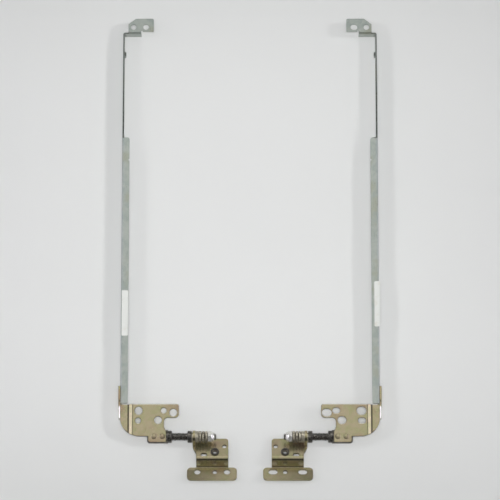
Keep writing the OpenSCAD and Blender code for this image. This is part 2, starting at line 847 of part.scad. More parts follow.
// Thick keyed washer that the springs press on
module pressure_washer(side) {
    color(steel)
        on_shaft(side, pressure_x)
            keyed_ring(pressure_t);
}

// One coned spring washer; neighbours in the pack face opposite ways
module spring(side, n) {
    flip = n % 2;
    inner_r = washer_bore / 2;
    outer_r = washer_d / 2;
    color(steel)
        on_shaft(side, spring_x + (n + flip) * spring_pitch)
            mirror([0, 0, flip])
                rotate_extrude()
                    polygon([
                        [inner_r, 0], [outer_r, spring_cone],
                        [outer_r, spring_cone + spring_t], [inner_r, spring_t]
                    ]);
}

// Lock nut: hexagon with chamfered corners and a crimped, rounded end
module lock_nut(side) {
    flat_r = nut_af / 2;
    corner_r = flat_r / cos(30);
    chamfer = corner_r - flat_r;
    hex_end = nut_len - nut_crown;
    color(bright)
        on_shaft(side, nut_x)
            difference() {
                intersection() {
                    cylinder(h = nut_len, r = corner_r, $fn = 6);
                    rotate_extrude()
                        polygon([
                            [0, 0], [flat_r, 0], [corner_r, chamfer], [corner_r, hex_end - 2 * chamfer],
                            [flat_r - 0.2, hex_end], [flat_r - 0.5, nut_len - 0.3], [flat_r - 0.9, nut_len],
                            [0, nut_len]
                        ]);
                }
                translate([0, 0, -1])
                    cylinder(h = nut_len + 2, d = thread_d + 2 * axial_gap);
            }
}

// Threaded insert pressed into the base bracket's plate
module threaded_insert(side) {
    length = insert_barrel + base_t + insert_proud;
    color(black)
        on_base(side)
            translate([base_edge_x + insert_at[0], insert_at[1], -plate_drop - base_t - insert_barrel])
                difference() {
                    union() {
                        cylinder(h = insert_barrel, d = insert_d + 2 * insert_lip);
                        cylinder(h = length, d = insert_d);
                    }
                    translate([0, 0, -1])
                        cylinder(h = length + 2, d = insert_bore_d);
                }
}

// Plain paper label on the flange
module label(side) {
    corner_r = [0.4, 0.7, 0.7, 0.4];
    low = [label_x[side], label_y[side]];
    color(paper)
        place(side)
            translate([0, 0, arm_h])
                linear_extrude(label_t)
                    rounded(low, low + [label_w[side], label_len], corner_r);
}

arm(left);  // left_arm
screen_bracket(left);  // left_screen_bracket
arm_rivets(left);  // left_arm_rivets
shaft(left);  // left_shaft
tail_rivets(left);  // left_tail_rivets
stop_washer(left);  // left_stop_washer
base_bracket(left);  // left_base_bracket
friction_washer(left);  // left_friction_washer
pressure_washer(left);  // left_pressure_washer
spring(left, 0);  // left_spring_1
spring(left, 1);  // left_spring_2
spring(left, 2);  // left_spring_3
spring(left, 3);  // left_spring_4
spring(left, 4);  // left_spring_5
spring(left, 5);  // left_spring_6
lock_nut(left);  // left_lock_nut
threaded_insert(left);  // left_threaded_insert
label(left);  // left_label
arm(right);  // right_arm
screen_bracket(right);  // right_screen_bracket
arm_rivets(right);  // right_arm_rivets
shaft(right);  // right_shaft
tail_rivets(right);  // right_tail_rivets
stop_washer(right);  // right_stop_washer
base_bracket(right);  // right_base_bracket
friction_washer(right);  // right_friction_washer
pressure_washer(right);  // right_pressure_washer
spring(right, 0);  // right_spring_1
spring(right, 1);  // right_spring_2
spring(right, 2);  // right_spring_3
spring(right, 3);  // right_spring_4
spring(right, 4);  // right_spring_5
spring(right, 5);  // right_spring_6
lock_nut(right);  // right_lock_nut
threaded_insert(right);  // right_threaded_insert
label(right);  // right_label
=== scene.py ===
"""Finishes, threads, grease and a photographer's table for a pair of laptop lid hinges."""
import json
import math

import bmesh
import bpy
from mathutils import Matrix, Vector, noise


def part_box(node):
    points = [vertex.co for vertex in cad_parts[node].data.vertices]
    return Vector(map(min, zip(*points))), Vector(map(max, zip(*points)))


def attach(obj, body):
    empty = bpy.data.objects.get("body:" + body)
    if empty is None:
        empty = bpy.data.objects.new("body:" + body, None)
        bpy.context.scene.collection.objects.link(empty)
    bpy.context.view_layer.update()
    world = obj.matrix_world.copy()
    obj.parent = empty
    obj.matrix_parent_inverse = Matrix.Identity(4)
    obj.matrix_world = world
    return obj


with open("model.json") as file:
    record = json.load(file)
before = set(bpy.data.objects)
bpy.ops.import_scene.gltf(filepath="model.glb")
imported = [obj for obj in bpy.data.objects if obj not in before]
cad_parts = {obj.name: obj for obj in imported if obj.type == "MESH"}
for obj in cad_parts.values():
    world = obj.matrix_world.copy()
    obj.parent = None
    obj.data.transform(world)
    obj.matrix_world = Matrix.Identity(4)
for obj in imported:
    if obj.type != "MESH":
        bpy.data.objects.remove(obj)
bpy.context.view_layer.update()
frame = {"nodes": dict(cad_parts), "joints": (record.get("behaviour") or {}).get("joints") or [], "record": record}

bl_info = {
    "name": "Laptop Hinge Finishes",
    "version": (1, 0, 0),
    "blender": (4, 5, 0),
    "location": "View3D > Sidebar > Hinges",
    "description": "Plated, blackened and greased finishes for a pair of laptop lid hinges",
    "category": "Material",
}

MM = 0.001
SCREEN_SIDE = "screen_side"
TOWARDS_MIDDLE = {"left": 1, "right": -1}
HINGE_AXIS = Vector(frame["joints"][0]["pos_m"])
SPRINGS = ["spring_%d" % number for number in range(1, 7)]

# Radii of the bevels on the small parts, which are too fine for the stamped sheets' edge radius.
WASHER_EDGE = 0.04 * MM
SPRING_EDGE = 0.05 * MM
NUT_EDGE = 0.06 * MM
INSERT_EDGE = 0.05 * MM
LABEL_EDGE = 0.02 * MM

# Distances inwards from the outer face of an arm or a screen bracket.
BENT_FACE = 0.7 * MM
# Width of the outer wall's painted highlight.
HIGHLIGHT_WALL_WIDTH = 1.15 * MM
OUTER_WALL = 2.7 * MM
JOGGLE_FOLD = (4.1 * MM, 5.05 * MM)

# How far the cut edges of the arms' strips lie below the arms' top.
STRIP_CUT = 0.375 * MM

# Lengths along the hinges: of the arms' ears, from the hinge axis to the arms, and of the feet.
EAR_LENGTH = 10 * MM
AXIS_TO_ARM = 17.5 * MM
FOOT_LENGTH = 6.5 * MM

# The thread that shows between a lock nut and the shaft's tip.
TIP_THREAD = {"radius": 1.72 * MM, "depth": 0.1 * MM, "flat_r": 1.55 * MM}
TIP_THREAD_GAP = 0.1 * MM


def linear_level(level):
    """Linear level of one level of a screen colour, from 0 to 255."""
    share = level / 255
    return share / 12.92 if share < 0.0405 else ((share + 0.055) / 1.055) ** 2.4


def screen_colour(red, green, blue):
    """Linear colour of a screen colour that is given from 0 to 255."""
    return tuple(linear_level(level) for level in (red, green, blue))


BARE_STEEL = screen_colour(168, 163, 152)
# Colour of the soiling and of the painted shade on the rings.
RING_DIRT_AND_SHADE = screen_colour(58, 52, 42)
INSERT_GREY = screen_colour(78, 76, 72)
THREAD_BRIGHT = screen_colour(138, 130, 118)
THREAD_DULL = screen_colour(92, 84, 72)
GREASE_BROWN = screen_colour(56, 50, 40)
PAPER_SOIL = screen_colour(206, 202, 186)


def colour_property(name, description, red, green, blue):
    """A colour that the sidebar shows, with its default as a screen colour."""
    return bpy.props.FloatVectorProperty(
        name=name, description=description, subtype="COLOR", size=3, min=0, max=1,
        default=screen_colour(red, green, blue))


def length_property(name, description, default):
    """A length that the sidebar shows, in metres."""
    return bpy.props.FloatProperty(
        name=name, description=description, default=default, min=0, precision=5, unit="LENGTH")


class PlatingSettings(bpy.types.PropertyGroup):
    """Colours of the plated and blackened steel, and the size of their pattern."""

    zinc: colour_property("Zinc", "Clear zinc plating of the arms", 180, 186, 179)
    zinc_cloud: colour_property("Zinc cloud", "Duller clouds in the clear zinc", 165, 174, 168)
    zinc_olive: colour_property("Zinc olive", "Olive clouds in the clear zinc", 170, 174, 160)
    gold: colour_property("Passivated zinc", "Olive gold plating of the brackets", 185, 173, 143)
    gold_green: colour_property("Green cast", "Greenish clouds in the gold plating", 173, 170, 130)
    gold_brown: colour_property("Brown cast", "Brownish pink clouds in the gold plating", 174, 156, 130)
    # The colour of the painted highlights on the screen brackets' edges.
    brightened: colour_property("Rubbed edges", "Bright edges of the gold plating", 246, 243, 234)
    black: colour_property("Blackening", "Blackened steel of the shafts", 88, 86, 81)
    spring: colour_property("Spring steel", "Oiled spring and washer steel", 200, 194, 174)
    nickel: colour_property("Nickel", "Bright nickel of the lock nuts", 250, 249, 242)
    # The brown colour of the painted shade in the folds of the plating.
    fold_shade_colour: colour_property("Tarnish", "Brown tarnish and oil in the folds", 66, 56, 42)
    cloud_size: length_property("Cloud size", "Width of a cloud in the plating", 5 * MM)
    grain_size: length_property("Grain size", "Width of the fine grain of the plating", 0.25 * MM)


class DetailSettings(bpy.types.PropertyGroup):
    """Sizes and colours of what the finishes add to the hinges."""

    edge_radius: length_property("Edge radius", "Rounding of the stamped edges", 0.07 * MM)
    grease: colour_property("Grease", "Old grease on the shafts", 26, 23, 19)
    grease_film: length_property("Grease film", "Thickness of the grease round the neck", 0.16 * MM)
    neck_from_tip: length_property("Neck from tip", "Distance from a shaft's tip to its neck", 16.14 * MM)
    neck_length: length_property("Neck length", "Length of a shaft's neck", 8.9 * MM)
    neck_radius: length_property("Neck radius", "Radius of a shaft's neck", 1.95 * MM)
    thread_pitch: length_property("Thread pitch", "Pitch of the screw threads", 0.5 * MM)
    thread_depth: length_property("Thread depth", "Depth of the threads in the brackets", 0.27 * MM)
    paper: colour_property("Label paper", "Paper of the plain labels", 224, 226, 222)


class StageSettings(bpy.types.PropertyGroup):
    """The table and the camera."""

    floor: colour_property("Floor", "Pale table top", 224, 225, 224)
    view_width: length_property("View width", "Width of the picture at the hinges", 287.5 * MM)
    view_distance: length_property("Camera distance", "Distance from the camera to the hinges", 2.0)
    view_tilt: bpy.props.FloatProperty(
        name="Camera tilt", description="Angle between the camera's view and straight down",
        default=math.radians(12.5), subtype="ANGLE")


class Value:
    """A node's output. Arithmetic on it adds Math nodes."""

    def __init__(self, graph, socket):
        self.graph = graph
        self.socket = socket

    def math(self, operation, *others):
        """A Math node that takes this value and the others."""
        return self.graph.add("Math", {"operation": operation}, dict(enumerate((self, *others))))

    def __add__(self, other):
        return self.math("ADD", other)

    def __sub__(self, other):
        return self.math("SUBTRACT", other)

    def __rsub__(self, other):
        return self.graph.add("Math", {"operation": "SUBTRACT"}, {0: other, 1: self})

    def __mul__(self, other):
        return self.math("MULTIPLY", other)

    def __abs__(self):
        return self.math("ABSOLUTE")

    __radd__ = __add__
    __rmul__ = __mul__

    def larger(self, other):
        """The larger of the two values."""
        return self.math("MAXIMUM", other)

    def rise(self, low, high):
        """0 below low, 1 above high, and a smooth rise between them. It falls where low is above high."""
        limits = {"Value": self, "From Min": low, "From Max": high}
        return self.graph.add("MapRange", {"interpolation_type": "SMOOTHSTEP"}, limits)

    def past(self, edge, blur):
        """1 past an edge and 0 before it, with a smooth rise of the blur's width between them."""
        return self.rise(edge - blur / 2, edge + blur / 2)

    def before(self, edge, blur):
        """1 before an edge and 0 past it, with a smooth fall of the blur's width between them."""
        return self.rise(edge + blur / 2, edge - blur / 2)


def darkest(*shades):
    """The darkest of some masks, each with its own darkness from 0 to 1."""
    darkness = [mask * strength for mask, strength in shades]
    result = darkness[0]
    for other in darkness[1:]:
        result = result.larger(other)
    return result


class Graph:
    """A node tree that is built from expressions."""

    def __init__(self, tree):
        self.tree = tree
        tree.nodes.clear()

    def add(self, kind, settings=None, sockets=None, out=0):
        """Adds a shader node: its settings come first, then the values or links of its sockets."""
        node = self.tree.nodes.new("ShaderNode" + kind)
        for name, value in (settings or {}).items():
            if name == "stops":
                self.set_stops(node.color_ramp, value)
            else:
                setattr(node, name, value)
        for key, value in (sockets or {}).items():
            if isinstance(value, Value):
                self.tree.links.new(value.socket, node.inputs[key])
            else:
                node.inputs[key].default_value = value
        return Value(self, node.outputs[out]) if node.outputs else None

    def set_stops(self, ramp, stops):
        """Gives a colour ramp its stops, as pairs of a position and a grey level."""
        while len(ramp.elements) < len(stops):
            ramp.elements.new(1)
        for element, (position, level) in zip(ramp.elements, stops):
            element.position = position
            element.color = (level, level, level, 1)

    def mix(self, factor, first, second):
        """Colour between first and second."""
        first, second = (c if isinstance(c, Value) else (*c, 1) for c in (first, second))
        # The colour sockets have the same names as those for numbers, so they go by their place.
        return self.add("Mix", {"data_type": "RGBA"}, {0: factor, 6: first, 7: second}, out=2)

    def brighten(self, colour, amount):
        """Colour multiplied by a value."""
        return self.add("VectorMath", {"operation": "SCALE"}, {0: colour, "Scale": amount})

    def share(self, vector, axis):
        """X, Y or Z of a vector."""
        return self.add("SeparateXYZ", None, {"Vector": vector}, out=axis)

    def places(self, stretch=(1, 1, 1), turn=0):
        """Place on the piece in metres, stretched, and turned round Z by some degrees."""
        here = self.add("TexCoord", out="Object")
        if stretch == (1, 1, 1) and turn == 0:
            return here
        moves = {"Vector": here, "Rotation": (0, 0, math.radians(turn)), "Scale": stretch}
        return self.add("Mapping", None, moves)

    def noise(self, size, detail=3.0, roughness=0.55, places=None, distortion=0.0):
        """Noise whose features are about size metres wide."""
        sockets = {
            "Vector": places or self.places(), "Scale": 1 / size, "Detail": detail,
            "Roughness": roughness, "Distortion": distortion,
        }
        return self.add("TexNoise", None, sockets)

    def spots(self, size):
        """Distance to the nearest of scattered points that lie about size metres apart."""
        sockets = {"Vector": self.places(), "Scale": 1 / size}
        return self.add("TexVoronoi", {"feature": "F1"}, sockets)

    def place(self, axis):
        """X, Y or Z of the place on the piece, in metres."""
        return self.share(self.places(), axis)

    def facing(self, axis):
        """X, Y or Z share of the surface's direction, in the piece's own frame."""
        return self.share(self.add("TexCoord", out="Normal"), axis)

    def rounded(self, width):
        """The surface's direction, as if its edges were rounded over a width."""
        return self.add("Bevel", {"samples": 4}, {"Radius": width})

    def flat_edge(self, lean):
        """1 where the rounded edge of a flat upward face leans over, and 0 on the rest of the face."""
        return lean.rise(0.08, 0.36) * self.facing("Z").rise(0.93, 0.98)

    def painted_edge_shade(self, width):
        """1 along the edges of a flat face that look left, right or to the front, and 0 away from them."""
        rounded = self.rounded(width)
        across = abs(self.share(rounded, "X"))
        return self.flat_edge(across.larger(self.share(rounded, "Y") * -1))

    def back_edge(self, width):
        """1 along the edges of a flat face that look to the back, and 0 away from them."""
        return self.flat_edge(self.share(self.rounded(width), "Y"))

    def worn_edge(self, width):
        """1 on edges and tight bends, 0 further from them than about the width."""
        directions = {0: self.rounded(width), 1: self.add("NewGeometry", out="True Normal")}
        alike = self.add("VectorMath", {"operation": "DOT_PRODUCT"}, directions, out="Value")
        return alike.rise(0.99, 0.9)

    def fold(self, reach):
        """1 deep in a fold or corner of the piece, 0 where it lies open."""
        shelter = {"only_local": True, "samples": 6}
        return self.add("AmbientOcclusion", shelter, {"Distance": reach}, out="AO").rise(0.97, 0.6)

    def scratches(self, turn, spacing, length):
        """Sparse fine lines at an angle of some degrees in the table's plane."""
        along = self.places(stretch=(1, spacing / length, 1), turn=turn)
        lines = self.noise(spacing, detail=2.0, roughness=0.5, places=along).rise(0.66, 0.70)
        return lines * self.noise(length, detail=2.0).rise(0.48, 0.6)

    def bump(self, height, depth):
        """Normal of a surface whose height varies by depth metres."""
        return self.add("Bump", None, {"Strength": 1.0, "Distance": depth, "Height": height})


def surface(name, finish):
    """A material whose Principled BSDF takes the sockets that finish returns."""
    material = bpy.data.materials.new(name)
    material.use_nodes = True
    graph = Graph(material.node_tree)
    shader = graph.add("BsdfPrincipled", None, finish(graph))
    graph.add("OutputMaterial", None, {"Surface": shader})
    return material


def plated(colours, gloss, metal, streak_turn=0, darkening=None, brightened=None):
    """Finish of plated sheet steel: three colours in clouds, rolling lines, handling marks and pits."""
    settings = bpy.context.scene.hinge_plating

    def finish(graph):
        cloud = graph.noise(settings.cloud_size, detail=4.0, roughness=0.6, distortion=0.6)
        drift = graph.noise(settings.cloud_size * 2.2, detail=3.0, roughness=0.5)
        grain = graph.noise(settings.grain_size, detail=3.0, roughness=0.7)
        rolling = graph.places(stretch=(1, 0.02, 1), turn=streak_turn)
        rolled = graph.noise(settings.grain_size, detail=2.0, roughness=0.5, places=rolling)
        long_marks = graph.scratches(turn=35, spacing=0.12 * MM, length=7 * MM)
        short_marks = graph.scratches(turn=-52, spacing=0.1 * MM, length=5 * MM)
        marks = long_marks.larger(short_marks)
        cuts = graph.scratches(turn=68, spacing=0.09 * MM, length=3 * MM)
        pits = graph.spots(1.7 * MM).rise(0.11, 0.05) * drift.rise(0.5, 0.62)
        # Occlusion darkens the folds and corners towards a brown colour: painted shade, which also dulls the metal
        # there.
        dirt_and_shade = graph.fold(1.3 * MM) * (0.45 + cloud * 0.5)
        worn = graph.worn_edge(0.14 * MM) * grain.rise(0.3, 0.6)
        colour = graph.mix(cloud.rise(0.38, 0.66), colours[0], colours[1])
        colour = graph.mix(drift.rise(0.5, 0.68), colour, colours[2])
        tone = 0.93 + grain * 0.1 + (rolled - 0.5) * 0.12 + marks * 0.16 + worn * 0.16
        tone = tone - pits * 0.45 - cuts * 0.3
        metallic = metal - dirt_and_shade * 0.3
        roughness = gloss + cloud * 0.08 + grain * 0.1 + pits * 0.3 - marks * 0.06 + dirt_and_shade * 0.15
        if darkening:
            # The extra darkening that a finish gives: dull cut faces, and painted shade on the brackets.
            dark = darkening(graph)
            tone = tone * (1 - dark)
            # The darkest faces, the screen brackets' cut faces, also turn dull.
            sheared_and_shaded = dark.rise(0.77, 0.82)
            metallic = metallic - sheared_and_shaded * 0.6
            roughness = roughness + sheared_and_shaded * 0.3
        # Painted highlights on the edges, where a finish gives them.
        if brightened:
            colour = graph.mix(brightened(graph), colour, settings.brightened)
        height = grain * 0.5 + rolled * 0.3 - marks * 0.4 - cuts * 0.4 - pits
        return {
            "Base Color": graph.mix(dirt_and_shade, graph.brighten(colour, tone), settings.fold_shade_colour),
            "Metallic": metallic,
            "Roughness": roughness,
            "Normal": graph.bump(height, 0.012 * MM),
        }

    return finish


def zinc_finish():
    """Clear zinc of the arms, with a dull upper edge where their strips were cut, and duller ears."""
    settings = bpy.context.scene.hinge_plating
    colours = (settings.zinc, settings.zinc_cloud, settings.zinc_olive)
    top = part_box("left_arm")[1]

    def darkening(graph):
        upward = graph.facing("Z").rise(0.6, 0.9)
        strip = graph.place("Z").before(top.z - STRIP_CUT, blur=0.15 * MM) * upward
        ear = graph.place("Y").past(top.y - EAR_LENGTH, blur=1 * MM) * upward
        return darkest((strip, 0.58), (ear, 0.17))

    return plated(colours, gloss=0.22, metal=0.8, darkening=darkening)


def gold_finish(darkening=None, gloss=0.16, brightened=None):
    """Olive gold of the brackets and of the rivets at the shafts' tails."""
    settings = bpy.context.scene.hinge_plating
    colours = (settings.gold, settings.gold_green, settings.gold_brown)
    return plated(colours, gloss, metal=0.88, streak_turn=90, darkening=darkening, brightened=brightened)


def screen_bracket_shade_and_cut_faces(graph):
    """Dark on the cut faces of the screen brackets' flat parts, partly a dull cut finish and partly painted shade.
    Painted shade along the fold of their joggle, and along the edges that look left, right or to the front.
    """
    inward = -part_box("left_arm")[0].x - abs(graph.place("X"))
    # The cut faces: partly a dull cut finish, partly painted shade.
    sheared_and_shaded = abs(graph.facing("Z")).rise(0.3, 0.1) * inward.past(BENT_FACE, blur=0.6 * MM)
    fold_start, fold_end = JOGGLE_FOLD
    # Painted shade along the fold of the joggle.
    joggle_fold = inward.past(fold_start, blur=0.4 * MM) * inward.before(fold_end, blur=0.3 * MM)
    # Painted shade along the edges that look left, right or to the front.
    painted_edge_shade = graph.painted_edge_shade(0.8 * MM) * inward.past(OUTER_WALL, blur=1 * MM)
    return darkest((sheared_and_shaded, 0.82), (joggle_fold, 0.76), (painted_edge_shade, 0.6))


def painted_edge_highlights(graph):
    """Painted highlights on the screen brackets' back edges, and on their outer wall's edge in front of the arm.
    """
    inward = -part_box("left_screen_bracket")[0].x - abs(graph.place("X"))
    in_front = graph.place("Y").before(HINGE_AXIS.y + AXIS_TO_ARM, blur=1 * MM)
    wall = inward.before(HIGHLIGHT_WALL_WIDTH, blur=0.3 * MM) * in_front
    back = graph.back_edge(0.9 * MM) * inward.past(OUTER_WALL, blur=1 * MM)
    return wall.larger(back * 0.9)


def base_bracket_shade(graph):
    """Painted shade round the outside of the step's bend, a lighter painted shade on the band where the plate
    starts to turn, and painted shade towards the outer end of the foot.
    """
    low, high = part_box("left_base_bracket")
    # Painted shade that grows towards the outer end of the foot.
    foot = graph.place("Y").before(low.y + FOOT_LENGTH, blur=1 * MM)
    painted_foot_shade = foot * abs(graph.place("X")).rise(-high.x, -low.x)
    # Painted shade round the outside of the step's bend, and a lighter painted shade where the plate starts to
    # turn into it.
    front = graph.facing("Y")
    bend = front.rise(-0.2, -0.4) * front.rise(-0.86, -0.7)
    crest = front.rise(0.41, 0.3) * front.rise(-0.4, -0.2)
    return darkest((bend, 0.62), (crest, 0.24), (painted_foot_shade, 0.42))


def black_finish(graph):
    """Blackened shaft steel under a film of old grease."""
    settings = bpy.context.scene.hinge_plating
    details = bpy.context.scene.hinge_details
    lumps = graph.noise(1.1 * MM, detail=3.0, roughness=0.6, distortion=0.8)
    grain = graph.noise(0.2 * MM, detail=3.0, roughness=0.7)
    # Bright patches of bare steel where the blackening has worn away.
    brightened = graph.noise(1.6 * MM, detail=2.0).rise(0.5, 0.66) * grain.rise(0.4, 0.62)
    worn = graph.worn_edge(0.2 * MM) * grain.rise(0.35, 0.6)
    colour = graph.mix(lumps.rise(0.45, 0.6), settings.black, details.grease)
    return {
        # The bright edges are partly bare steel worn through and partly a painted highlight along the collars'
        # edges.
        "Base Color": graph.mix((brightened * 0.7).larger(worn * 0.8), colour, BARE_STEEL),
        "Metallic": 0.75,
        "Roughness": 0.24 + grain * 0.2,
        "Coat Weight": lumps.rise(0.4, 0.6) * 0.5,
        "Coat Roughness": 0.12,
        "Normal": graph.bump(lumps + grain * 0.12, 0.05 * MM),
    }


def turned_finish(colour, gloss, dirt_and_shade_level):
    """Finish of small turned or ground steel rings, with soiled blotches, and painted shade in the gaps between
    them and on their faces that look to the front.
    """

    def finish(graph):
        grain = graph.noise(0.18 * MM, detail=3.0, roughness=0.7)
        blotch = graph.noise(1.3 * MM, detail=3.0, roughness=0.6, distortion=0.5)
        turning = graph.places(stretch=(1, 0.06, 0.06))
        rings = graph.noise(0.12 * MM, detail=1.0, roughness=0.5, places=turning)
        worn = graph.worn_edge(0.1 * MM) * grain.rise(0.3, 0.6)
        # Faces that look to the front get a patchy painted shade, and the gaps between rings a painted shade from
        # occlusion; the blotches are real soiling.
        painted_shade = graph.facing("Y").rise(-0.3, -0.75) * blotch.rise(0.3, 0.5)
        dirt_and_shade = blotch.rise(0.46, 0.66).larger(graph.fold(0.6 * MM)).larger(painted_shade) * dirt_and_shade_level
        shade = graph.brighten(tuple(colour), 0.86 + grain * 0.14 + rings * 0.12 + worn * 0.15)
        return {
            "Base Color": graph.mix(dirt_and_shade, shade, RING_DIRT_AND_SHADE),
            "Metallic": 0.8 - dirt_and_shade * 0.4,
            "Roughness": gloss + grain * 0.14 + dirt_and_shade * 0.2,
            "Normal": graph.bump(grain * 0.5 + rings * 0.4, 0.01 * MM),
        }

    return finish


def insert_finish(graph):
    """Blackened steel of the inserts, with duller blotches."""
    settings = bpy.context.scene.hinge_plating
    grain = graph.noise(0.2 * MM, detail=3.0, roughness=0.7)
    blotch = graph.noise(1.2 * MM, detail=2.0)
    return {
        "Base Color": graph.mix(blotch.rise(0.4, 0.7), settings.black, INSERT_GREY),
        "Metallic": 0.8,
        "Roughness": 0.35 + grain * 0.2,
        "Normal": graph.bump(grain, 0.01 * MM),
    }


def worn_thread_finish(graph):
    """Greyish brown steel where screws have worn the blackening off a thread."""
    grain = graph.noise(0.2 * MM, detail=3.0, roughness=0.7)
    blotch = graph.noise(0.9 * MM, detail=3.0, roughness=0.6)
    return {
        "Base Color": graph.mix(blotch.rise(0.4, 0.6), THREAD_BRIGHT, THREAD_DULL),
        "Metallic": 0.35,
        "Roughness": 0.3 + grain * 0.2,
        "Normal": graph.bump(grain, 0.01 * MM),
    }


def grease_finish(graph):
    """Old dark grease."""
    details = bpy.context.scene.hinge_details
    lumps = graph.noise(0.6 * MM, detail=4.0, roughness=0.6, distortion=1.2)
    return {
        "Base Color": graph.mix(lumps.rise(0.4, 0.7), details.grease, GREASE_BROWN),
        "Metallic": 0.0,
        "Roughness": 0.16 + lumps * 0.2,
        "Coat Weight": lumps.rise(0.3, 0.6),
        "Coat Roughness": 0.08,
        "Normal": graph.bump(lumps, 0.06 * MM),
    }


def paper_finish(graph):
    """Matt label paper, a little soiled."""
    details = bpy.context.scene.hinge_details
    fibre = graph.noise(0.15 * MM, detail=4.0, roughness=0.7, places=graph.places(stretch=(1, 0.3, 1)))
    soil = graph.noise(4 * MM, detail=3.0, roughness=0.6).rise(0.5, 0.75)
    colour = graph.mix(soil * 0.5, details.paper, PAPER_SOIL)
    return {
        "Base Color": graph.brighten(colour, 0.95 + fibre * 0.08),
        "Metallic": 0.0,
        "Roughness": 0.62 + fibre * 0.15,
        "Normal": graph.bump(fibre, 0.012 * MM),
    }


def floor_finish(graph):
    """Plain pale table top."""
    stage = bpy.context.scene.hinge_stage
    grain = graph.noise(60 * MM, detail=3.0, roughness=0.5)
    return {
        "Base Color": graph.brighten(tuple(stage.floor), 0.985 + grain * 0.03),
        "Roughness": 0.6 + grain * 0.1,
        "Specular IOR Level": 0.3,
    }


def cad_nodes(*endings):
    """The frame's objects of both hinges whose names end so."""
    return [frame["nodes"]["%s_%s" % (side, ending)] for side in TOWARDS_MIDDLE for ending in endings]


def dress(objects, material, radius=None):
    """Gives frame objects their material and rounds their edges."""
    for obj in objects:
        for slot in obj.material_slots:
            slot.material = material
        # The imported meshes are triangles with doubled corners, which are joined and merged before the bevel.
        weld = obj.modifiers.new("Weld", "WELD")
        weld.merge_threshold = 0.002 * MM
        flat = obj.modifiers.new("Flat faces", "DECIMATE")
        flat.decimate_type = "DISSOLVE"
        flat.angle_limit = math.radians(0.5)
        edge = obj.modifiers.new("Edges", "BEVEL")
        edge.width = radius or bpy.context.scene.hinge_details.edge_radius
        edge.segments = 2
        edge.limit_method = "ANGLE"
        edge.angle_limit = math.radians(32)
        edge.use_clamp_overlap = False
        normals = obj.modifiers.new("Normals", "WEIGHTED_NORMAL")
        normals.keep_sharp = False


def tube_mesh(name, rings, place):
    """A closed mesh that joins rings of points one after the other and shuts both ends."""
    shape = bmesh.new()
    rows = [[shape.verts.new(place @ Vector(point)) for point in ring] for ring in rings]
    for low, high in zip(rows, rows[1:]):
        for k in range(len(low)):
            shape.faces.new((low[k - 1], low[k], high[k], high[k - 1]))
    shape.faces.new(reversed(rows[0]))
    shape.faces.new(rows[-1])
    bmesh.ops.recalc_face_normals(shape, faces=shape.faces)
    mesh = bpy.data.meshes.new(name)
    shape.to_mesh(mesh)
    shape.free()
    return mesh


def thread_rings(radius, depth, length, flat_r=None):
    """Rings of a thread's ridge round Z. A negative depth points inwards, and flat_r cuts flats off it."""
    steps_per_turn = 40
    run_out_steps = 10
    thinnest = 0.05
    sunk = 0.02 * MM
    pitch = bpy.context.scene.hinge_details.thread_pitch
    foot = -math.copysign(sunk, depth)
    half = 0.44 * pitch
    crest = 0.08 * pitch
    profile = ((-half, foot), (-crest, depth), (crest, depth), (half, foot))
    count = int((length - 2 * half) / pitch * steps_per_turn)
    rings = []
    for step in range(count + 1):
        angle = math.tau * step / steps_per_turn
        fullness = min(1, step / run_out_steps, (count - step) / run_out_steps)
        middle = half + pitch * step / steps_per_turn - length / 2
        limit = math.inf
        if flat_r:
            limit = flat_r / max(abs(math.cos(angle)), 0.1) - sunk
        ring = []
        for up, out in profile:
            reach = min(radius + (foot + (out - foot) * fullness), limit)
            height = middle + up * max(fullness, thinnest)
            ring.append((reach * math.cos(angle), reach * math.sin(angle), height))
        rings.append(ring)
    return rings


def grease_rings(length, radius, film):
    """Rings round Z of a lumpy film that is thicker in the corners at both ends of a neck."""
    lump_size = 1.1 * MM
    corner_size = 0.3 * MM
    corner_film = 0.1 * MM
    spacing = 0.12 * MM
    points = 56
    count = int(length / spacing)
    rings = []
    for step in range(count + 1):
        z = length * (step / count - 0.5)
        corner = math.exp(-(length / 2 - abs(z)) / corner_size)
        ring = []
        for k in range(points):
            angle = math.tau * k / points
            spot = Vector((math.cos(angle) * radius, math.sin(angle) * radius, z))
            lump = noise.noise(spot / lump_size) + 0.4 * noise.noise(spot / lump_size * 2.7)
            thick = film * max(lump * 1.8, -0.25) + corner_film * corner * (0.5 + lump)
            ring.append((*(spot.xy.normalized() * (radius + thick)), z))
        rings.append(ring)
    return rings


def inner_end(side, ending):
    """X of the end of a piece that looks to the middle of the pair."""
    low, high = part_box("%s_%s" % (side, ending))
    return high.x if side == "left" else low.x


def on_hinge_axis(x):
    """Place on the hinges' axis, turned so that Z runs along the axis."""
    return Matrix.Translation((x, HINGE_AXIS.y, HINGE_AXIS.z)) @ Matrix.Rotation(math.pi / 2, 4, "Y")


def add_piece(name, mesh, material, body):
    """Puts a mesh into the scene as a piece that rides on a body."""
    obj = bpy.data.objects.new(name, mesh)
    bpy.context.scene.collection.objects.link(obj)
    mesh.materials.append(material)
    for face in mesh.polygons:
        face.use_smooth = len(face.vertices) == 4
    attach(obj, body)


def area_lamp(name, place, target, size, power, spread=180):
    """A soft lamp that shines at a place on the table and doesn't show in the metal."""
    lamp = bpy.data.lights.new(name, "AREA")
    lamp.shape = "RECTANGLE"
    lamp.size, lamp.size_y = size
    lamp.energy = power
    lamp.spread = math.radians(spread)
    obj = bpy.data.objects.new(name, lamp)
    obj.location = place
    obj.rotation_euler = (Vector(target) - Vector(place)).to_track_quat("-Z", "Y").to_euler()
    obj.visible_glossy = False
    bpy.context.scene.collection.objects.link(obj)


